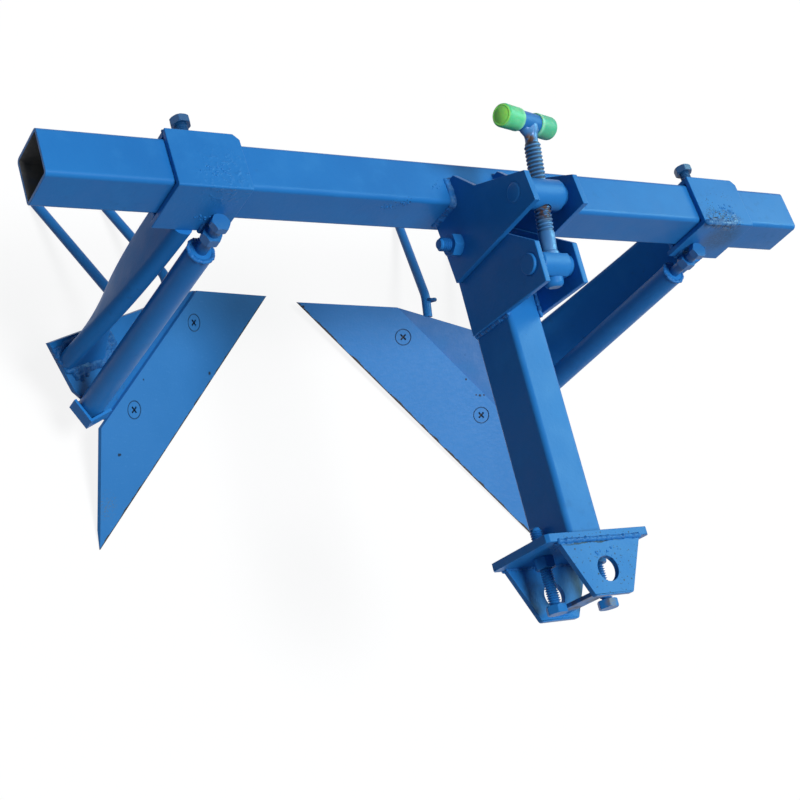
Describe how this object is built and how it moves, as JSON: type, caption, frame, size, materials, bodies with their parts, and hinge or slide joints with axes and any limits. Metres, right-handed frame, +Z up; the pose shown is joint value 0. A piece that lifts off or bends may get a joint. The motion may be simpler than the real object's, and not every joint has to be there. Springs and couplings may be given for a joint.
{
  "type": "peanut digger implement",
  "caption": "Digging implement for a walk-behind tractor: square toolbar with swept shares on sliding legs, vine rollers, tail rods, a pinned drawbar hitch and a screw that sets the depth.",
  "frame": {"origin": "centre of the hitch pin hole, midway between the two cheeks", "axes": "+Z up along the hitch pin, +X across the machine to its left hand when facing forward to the hitch (image right), +Y back from the hitch to the toolbar"},
  "size_m": [0.917, 0.6418, 0.5562],
  "materials": {
    "blue_paint": "semi-gloss enamel, a little worn",
    "share_paint": "satin enamel, worn to bare steel along the cutting edge",
    "screw_steel": "thin enamel over cut thread, rust at the edges",
    "green_plastic": "soft green vinyl"
  },
  "bodies": {
    "drawbar": {"drawbar_tube": "blue_paint", "lug_left": "blue_paint", "lug_right": "blue_paint", "pivot_bush": "blue_paint", "hitch_plate": "blue_paint", "hitch_cheek_upper": "blue_paint", "hitch_cheek_lower": "blue_paint", "tongue_strut": "blue_paint", "stop_bolt_left": "blue_paint", "stop_bolt_right": "blue_paint", "stop_nut_left": "blue_paint", "stop_nut_right": "blue_paint"},
    "frame": {"toolbar": "blue_paint", "mast_plate_left": "blue_paint", "mast_plate_right": "blue_paint", "pivot_bolt": "blue_paint", "pivot_nut": "blue_paint"},
    "lower_trunnion": {"lower_trunnion": "blue_paint"},
    "upper_trunnion": {"upper_trunnion": "blue_paint"},
    "screw": {"depth_screw": "screw_steel", "screw_collar": "blue_paint", "handle_bar": "blue_paint", "grip_left": "green_plastic", "grip_right": "green_plastic"},
    "left_carriage": {"left_collar_front": "blue_paint", "left_collar_rear": "blue_paint", "left_set_nut": "blue_paint", "left_set_bolt": "blue_paint", "left_leg": "blue_paint", "left_foot_plate": "blue_paint", "left_share": "share_paint", "left_share_screw_outer": "share_paint", "left_share_screw_inner": "share_paint", "left_rod_outer": "blue_paint", "left_rod_inner": "blue_paint", "left_axle_bolt": "blue_paint", "left_axle_nut": "blue_paint", "left_roller_socket": "blue_paint"},
    "left_roller": {"left_roller_tube": "blue_paint", "left_roller_bush_upper": "blue_paint", "left_roller_bush_lower": "blue_paint"},
    "right_carriage": {"right_collar_front": "blue_paint", "right_collar_rear": "blue_paint", "right_set_nut": "blue_paint", "right_set_bolt": "blue_paint", "right_leg": "blue_paint", "right_foot_plate": "blue_paint", "right_share": "share_paint", "right_share_screw_outer": "share_paint", "right_share_screw_inner": "share_paint", "right_rod_outer": "blue_paint", "right_rod_inner": "blue_paint", "right_axle_bolt": "blue_paint", "right_axle_nut": "blue_paint", "right_roller_socket": "blue_paint"},
    "right_roller": {"right_roller_tube": "blue_paint", "right_roller_bush_upper": "blue_paint", "right_roller_bush_lower": "blue_paint"}
  },
  "joints": [
    {"name": "frame_pitch", "type": "hinge", "parent": "drawbar", "child": "frame", "pos_m": [0, 0.35226, -0.0028], "axis": [1, 0, 0], "range_deg": [-5.1, 5.1]},
    {"name": "lower_tilt", "type": "hinge", "parent": "drawbar", "child": "lower_trunnion", "pos_m": [0, 0.28786, 0.0829], "axis": [1, 0, 0], "range_deg": [-1.7, 1.7]},
    {"name": "screw_turn", "type": "hinge", "parent": "lower_trunnion", "child": "screw", "pos_m": [0, 0.28786, 0.0829], "axis": [0, 0.9842, 0.1773], "range_deg": [-752, 752]},
    {"name": "upper_tilt", "type": "hinge", "parent": "frame", "child": "upper_trunnion", "pos_m": [0, 0.35676, 0.09531], "axis": [1, 0, 0], "range_deg": [-3.6, 3.6]},
    {"name": "left_slide", "type": "slide", "parent": "frame", "child": "left_carriage", "axis": [1, 0, 0], "range_m": [-0.115, 0.015]},
    {"name": "right_slide", "type": "slide", "parent": "frame", "child": "right_carriage", "axis": [1, 0, 0], "range_m": [-0.015, 0.075]},
    {"name": "left_roller_spin", "type": "hinge", "parent": "left_carriage", "child": "left_roller", "pos_m": [-0.28265, 0.37395, -0.01128], "axis": [0, 0.1118, 0.9937], "continuous": true},
    {"name": "right_roller_spin", "type": "hinge", "parent": "right_carriage", "child": "right_roller", "pos_m": [0.32245, 0.37395, -0.01128], "axis": [0, 0.1118, 0.9937], "continuous": true}
  ],
  "couplings": [
    {"joint": "frame_pitch", "follows": "screw_turn", "ratio": 0.0066481},
    {"joint": "lower_tilt", "follows": "screw_turn", "ratio": 0.0020723},
    {"joint": "upper_tilt", "follows": "screw_turn", "ratio": -0.0045757}
  ]
}
